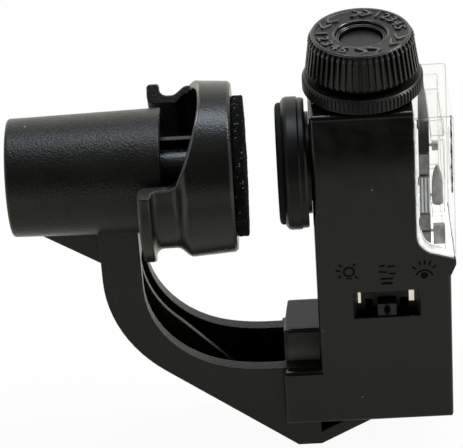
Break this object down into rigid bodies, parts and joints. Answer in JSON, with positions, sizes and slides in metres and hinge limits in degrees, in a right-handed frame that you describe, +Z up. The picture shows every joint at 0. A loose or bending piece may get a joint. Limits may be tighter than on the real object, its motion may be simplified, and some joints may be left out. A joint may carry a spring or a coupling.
{
  "type": "clip-on phone microscope",
  "caption": "Black clip-on phone microscope with a spring plunger clip on a curved arm, focus and zoom dials, a lamp switch and a clear specimen stage.",
  "frame": {"origin": "centre of the eyepiece's soft ring, on its outer face", "axes": "-X out of the eyepiece towards the phone, +X along the optical axis towards the specimen, +Z up to the dials"},
  "size_m": [0.0801, 0.033, 0.0841],
  "materials": {
    "black_plastic": "fine spark-eroded grain",
    "inner_plastic": "plain moulded",
    "slider_plastic": "satin",
    "clear_plastic": "clear, polished",
    "lens_glass": "polished",
    "soft_rubber": "matte",
    "black_foam": "open-cell foam",
    "plain_steel": "plain",
    "gold_contact": "plated",
    "board": "solder mask",
    "white_lamp": "clear dome",
    "violet_lamp": "tinted dome"
  },
  "bodies": {
    "microscope": {"front_housing": "black_plastic", "rear_housing": "black_plastic", "clear_stage": "clear_plastic", "eyepiece_barrel": "black_plastic", "eyepiece_rubber_ring": "soft_rubber", "eyepiece_lens": "lens_glass", "led_board": "board", "lamp_holder": "inner_plastic", "white_led": "white_lamp", "uv_led": "violet_lamp", "switch_frame": "plain_steel", "switch_terminals": "gold_contact", "button_cells": "plain_steel", "battery_plate": "gold_contact", "housing_screws": "plain_steel", "arm_screws": "plain_steel", "clip_arm": "black_plastic", "guide_bush": "black_plastic"},
    "zoom_dial": {"zoom_wheel": "black_plastic", "zoom_sleeve": "inner_plastic"},
    "zoom_group": {"zoom_carriage": "inner_plastic", "zoom_lens": "lens_glass"},
    "focus_dial": {"focus_knob": "black_plastic", "knob_cap": "black_plastic", "knob_screw": "plain_steel", "focus_shaft": "plain_steel"},
    "objective_group": {"objective_carriage": "inner_plastic", "objective_lens": "lens_glass"},
    "lamp_slider": {"switch_slider": "slider_plastic"},
    "door": {"battery_door": "black_plastic", "battery_rim_strip": "gold_contact"},
    "clip_plunger": {"plunger": "black_plastic", "foam_pad": "black_foam", "plunger_spring": "plain_steel", "plunger_retainer": "plain_steel", "retainer_screw": "plain_steel"}
  },
  "joints": [
    {"name": "plunger_slide", "type": "slide", "parent": "microscope", "child": "clip_plunger", "axis": [-1, 0, 0], "range_m": [0, 0.01], "stiffness_N_per_m": 500, "springref_m": -0.006, "deforming": ["plunger_spring"]},
    {"name": "focus_turn", "type": "hinge", "parent": "microscope", "child": "focus_dial", "pos_m": [0.0159, 0, 0.02], "axis": [0, 0, 1], "range_deg": [-41.5, 41.5]},
    {"name": "objective_slide", "type": "slide", "parent": "microscope", "child": "objective_group", "axis": [1, 0, 0], "range_m": [-0.00125, 0.00125]},
    {"name": "zoom_turn", "type": "hinge", "parent": "microscope", "child": "zoom_dial", "pos_m": [0.0159, 0, 0.0167], "axis": [0, 0, -1], "range_deg": [0, 83]},
    {"name": "zoom_slide", "type": "slide", "parent": "microscope", "child": "zoom_group", "axis": [1, 0, 0], "range_m": [0, 0.0039]},
    {"name": "lamp_switch_slide", "type": "slide", "parent": "microscope", "child": "lamp_slider", "axis": [1, 0, 0], "range_m": [-0.002, 0.002]},
    {"name": "battery_door_slide", "type": "slide", "parent": "microscope", "child": "door", "axis": [1, 0, 0], "range_m": [0, 0.02]}
  ],
  "couplings": [
    {"joint": "focus_turn", "follows": "objective_slide", "rad_per_m": 555.56},
    {"joint": "zoom_turn", "follows": "zoom_slide", "rad_per_m": 357.14}
  ]
}
